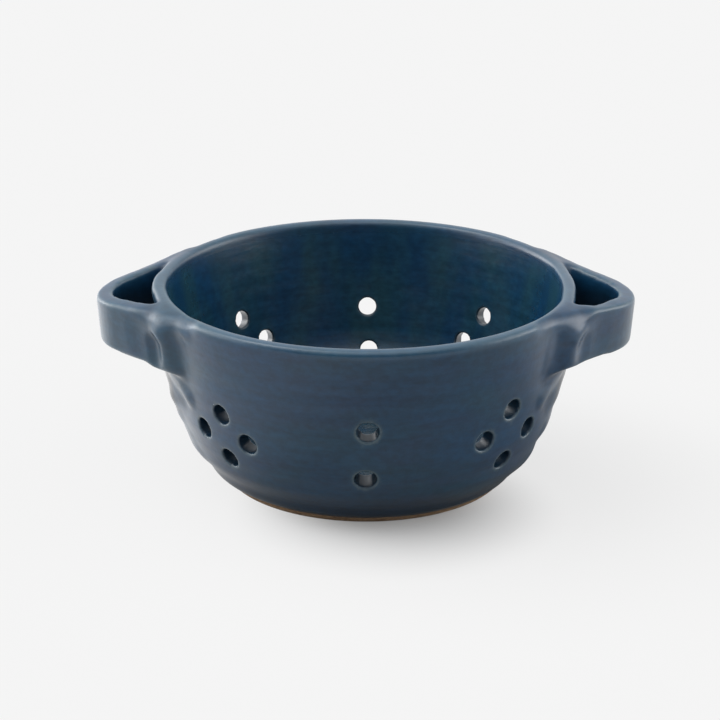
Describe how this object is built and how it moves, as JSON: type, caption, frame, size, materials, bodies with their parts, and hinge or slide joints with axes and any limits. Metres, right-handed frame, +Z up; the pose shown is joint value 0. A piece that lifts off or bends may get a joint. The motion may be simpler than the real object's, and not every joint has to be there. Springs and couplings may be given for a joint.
{
  "type": "colander bowl",
  "caption": "Small round stoneware colander bowl with punched drain holes, two strap handles at the rim and a bare clay foot.",
  "frame": {"origin": "on the table, under the middle of the foot", "axes": "+X through the right handle, +Y away from the picture's viewer, +Z up out of the bowl"},
  "size_m": [0.1932, 0.152, 0.0728],
  "materials": {
    "glaze": "satin slate blue glaze",
    "bare_clay": "bare fired stoneware"
  },
  "bodies": {
    "root": {"bowl": "glaze", "foot_ring": "bare_clay", "left_handle": "glaze", "right_handle": "glaze"}
  },
  "joints": []
}
